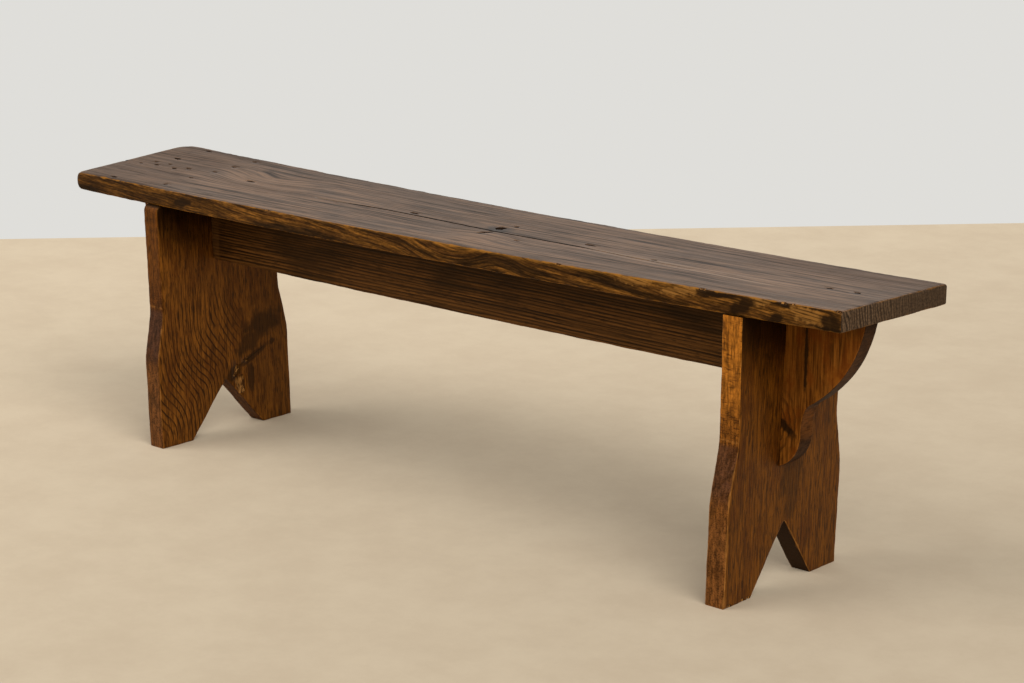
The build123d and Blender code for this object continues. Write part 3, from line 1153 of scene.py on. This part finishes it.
def bracket_finish(name, side):
    """Orange oiled faces with a dark streak, greyer sawn edges round the curve, and painted shade
    under the seat.
    """
    finish = Finish(name)
    fibre = finish.cloud(mm(2.4, 2.4, 50), detail=3, seed=2, rough=0.6)
    vein = finish.cloud(mm(8, 8, 120), detail=4, seed=7, rough=0.65)
    mottle = finish.cloud(mm(30, 30, 45), detail=4, seed=4, rough=0.6)
    glow = finish.cloud(mm(24, 24, 38), detail=4, seed=19, rough=0.6)
    knot = mm(side * 622, -27, 250)
    apart = finish.vector("SUBTRACT", finish.spot, knot)
    far = finish.vector("LENGTH", finish.vector("MULTIPLY", apart, knot_shape), out=1)
    knot_phase = far / knot_ring_spacing + finish.swing(mm(16, 16, 16), 0.6)
    round_knot = knot_phase.rings(0.4, 0.85) * finish.patch(knot, mm(46, 60, 62))
    streak = finish.patch(mm(side * 667, -27, 352), mm(4.5, 60, 75), ragged=0.5)
    blot_place, blot_turn = mm(side * 637, -27, 245), side * 0.95
    blot = finish.patch(blot_place, mm(9, 60, 26), 0.7, 9 * MM, blot_turn, "Y_AXIS")
    hollow = finish.z.band(222 * MM, 240 * MM) * finish.z.fall(268 * MM, 282 * MM)
    sawn_tone = finish.tint(bracket_sawn, bracket_hollow, hollow * 0.8)
    saw = finish.cloud(mm(14, 14, 3), seed=4)
    sawn_grain = mottle.band(0.3, 0.7) * 0.7 + saw.band(0.35, 0.65) * 0.6 + 0.4
    broad_face = finish.edge_on("Y")
    tone = finish.coats(
        bracket_dark,
        (bracket_pale, fibre.band(0.38, 0.62) * 0.6 + vein.band(0.38, 0.62) * 0.4),
        (bracket_red, mottle.band(0.45, 0.65) * 0.75),
        (bracket_glow, glow.band(0.5, 0.68) * 0.5),
        (bracket_streak, round_knot * 0.6),
        (bracket_streak, streak * 0.92),
        (bracket_streak, blot * 0.9),
        (finish.shade(sawn_tone, sawn_grain), 1 - broad_face),
        (bracket_worn, finish.worn() * 0.5),
    )
    # painted shade: the bracket is darkened at its top, under the seat
    painted_seat_shade = finish.z.band(375 * MM, 420 * MM)
    tone = finish.shade(tone, 1 - painted_seat_shade * 0.45)
    height = fibre * 0.6 + vein * 0.3
    gloss = broad_face * (leg_gloss - sawn_gloss) + sawn_gloss
    return finish.close(tone, fibre * 0.25 + 0.4, height, 0.6 * MM, gloss, amber_sheen)


for bracket_name, side in (("left_bracket", LEFT), ("right_bracket", RIGHT)):
    bracket = bracket_board(bracket_name, side)
    bracket.data.materials.append(bracket_finish(bracket_name + "_oiled", side))

# Nails
# Old cut nails of iron: an uneven square head on a tapering shank, driven below the surface. They
# hold the seat to the legs, stretcher and brackets, and the stretcher and brackets to the legs.
nail_head_width = 8 * MM
nail_head_thickness = 2 * MM
nail_shank_width = 4 * MM
nail_tip_width = 2 * MM
nail_sides = 12
nail_squareness = 0.8
nail_spin = 0.5
nail_seed = 31
rust_dark = (0.018, 0.012, 0.009, 1)
rust_red = (0.085, 0.035, 0.016, 1)
rusted = Finish("rusted_iron")
rust = rusted.cloud(mm(2.5, 2.5, 2.5), detail=4, seed=1, rough=0.6)
rust_tone = rusted.tint(rust_dark, rust_red, rust.band(0.4, 0.65))
rust_rough = rust * 0.3 + 0.55
iron = rusted.close(rust_tone, rust_rough, rust, 0.5 * MM, 0.4, metallic=0.3)


def cut_nail(length):
    """One nail with its head at the origin, pointing down."""
    levels = (
        (-length, nail_tip_width),
        (-0.8 * length, 0.8 * nail_shank_width),
        (-nail_head_thickness, nail_shank_width),
        (-nail_head_thickness, nail_head_width),
        (-0.4 * nail_head_thickness, nail_head_width),
        (0, 0.55 * nail_head_width),
    )
    corners = []
    for i in range(nail_sides):
        angle = 2 * math.pi * (i + 0.5) / nail_sides
        across, along = math.cos(angle), math.sin(angle)
        squared = 2 * max(abs(across), abs(along)) ** nail_squareness
        corners.append((across / squared, along / squared))
    return hooped([
        [(width * across, width * along, level) for across, along in corners]
        for level, width in levels
    ])


def nail_group(node):
    """The nails of one joint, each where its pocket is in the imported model."""
    group = []
    for low, high, way in nail_rows(node):
        middle = Vector((low + high) / 2)
        nail = cut_nail(high[way] - low[way])
        if way == 2:
            turn = Matrix.Identity(4)
            middle.z = high[2]
        else:
            side = RIGHT if middle.x > 0 else LEFT
            turn = Matrix.Rotation(side * math.pi / 2, 4, "Y")
            middle.x = side * max(abs(low[0]), abs(high[0]))
        middle.z = settled(np.array([middle]))[0][2]
        spin = Matrix.Rotation(nail_spin * noise.noise(middle * nail_seed), 4, "Z")
        nail.transform(Matrix.Translation(middle) @ turn @ spin)
        group.append(nail)
    shape = joined(group)
    bmesh.ops.recalc_face_normals(shape, faces=shape.faces)
    nails = placed(node + "_iron", meshed(node + "_iron", shape))
    nails.data.materials.append(iron)
    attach(nails, "root")
    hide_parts(node)


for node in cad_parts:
    if "nail" in node:
        nail_group(node)

# Floor, light and camera
# A plain pale floor with painted light, lighter at the left and darker at the right, that ends at a
# pale wall, a large soft lamp at the right and a weaker one at the left. The camera looks down the
# bench from its front right corner.
floor_tone = (0.565, 0.460, 0.330, 1)
floor_fleck = (0.615, 0.510, 0.370, 1)
floor_reach = 40
wall_foot = Vector((-1.307, 1.607, 0))
wall_run = Vector((0.688, 0.726, 0))
into_room = Vector((0.726, -0.688, 0))
back_edge = [wall_foot - floor_reach * wall_run, wall_foot + floor_reach * wall_run]
front_edge = [corner + floor_reach * into_room for corner in reversed(back_edge)]
floor_mesh = bpy.data.meshes.new("floor")
floor_mesh.from_pydata(back_edge + front_edge, [], [(3, 2, 1, 0)])
floor = placed("floor", floor_mesh)
plain = Finish("pale_floor")
plain_cloud = plain.cloud(mm(160, 160, 160), detail=8, rough=0.75)
plain_tone = plain.tint(floor_tone, floor_fleck, plain_cloud.band(0.3, 0.7))
# painted light: the floor's tone is made lighter at the left and darker at the right
plain_tone = plain.shade(plain_tone, plain.x.band(-1.4, 1.4) * -0.21 + 1.12)
plain_rough = plain_cloud * 0.1 + 0.8
floor.data.materials.append(plain.close(plain_tone, plain_rough, plain_cloud, 0.2 * MM, 0.1))

bench_middle = Vector((0, 0, 0.25))
lamp_distance = 4


def soft_lamp(name, towards, strength, spread_degrees, colour):
    """Light from far off in one direction, spread so wide that its shadows are soft."""
    light = bpy.data.lights.new(name, "SUN")
    light.energy = strength
    light.angle = math.radians(spread_degrees)
    light.color = colour
    lamp = placed(name, light)
    lamp.location = bench_middle + lamp_distance * Vector(towards)
    lamp.rotation_euler = Vector(towards).to_track_quat("Z", "Y").to_euler()


right_way, left_way = (0.75, -0.35, 0.75), (-0.55, -0.65, 0.75)
soft_lamp("right_lamp", right_way, strength=1.75, spread_degrees=44, colour=(1, 0.98, 0.95))
soft_lamp("left_lamp", left_way, strength=1.0, spread_degrees=38, colour=(1, 0.98, 0.96))
wall_tone = (0.74, 0.73, 0.70, 1)
room_tone = (0.50, 0.495, 0.485, 1)
room = bpy.data.worlds.new("room")
room_light = Steps(room)
rays = ("Is Camera Ray", "Is Glossy Ray", "Is Transmission Ray")
seen = room_light.most(*(room_light.step("ShaderNodeLightPath", {}, out=ray) for ray in rays))
wall_light = room_light.tint(room_tone, wall_tone, seen)
room_light.feed(room_light.nodes["Background"], {"Color": wall_light})
bpy.context.scene.world = room

picture_width = 1024
picture_height = 683
focal_pixels = 2470.7
middle_pixel = (514.3, 345.3)
eye = Vector((2.5434, -2.7891, 1.2223))
turned_left = math.radians(41.15)
looking_down = math.radians(14.46)
tilt = math.radians(0.206)
lens = bpy.data.cameras.new("camera")
lens.sensor_width = 36
lens.lens = focal_pixels / picture_width * lens.sensor_width
lens.shift_x = (picture_width / 2 - middle_pixel[0]) / picture_width
lens.shift_y = (middle_pixel[1] - picture_height / 2) / picture_width
lens.clip_end = 200
camera = placed("camera", lens)
camera.matrix_world = (
    Matrix.Translation(eye)
    @ Matrix.Rotation(turned_left, 4, "Z")
    @ Matrix.Rotation(math.pi / 2 - looking_down, 4, "X")
    @ Matrix.Rotation(tilt, 4, "Z")
)
bpy.context.scene.camera = camera
bpy.context.scene.view_settings.view_transform = "Standard"

bpy.context.view_layer.update()
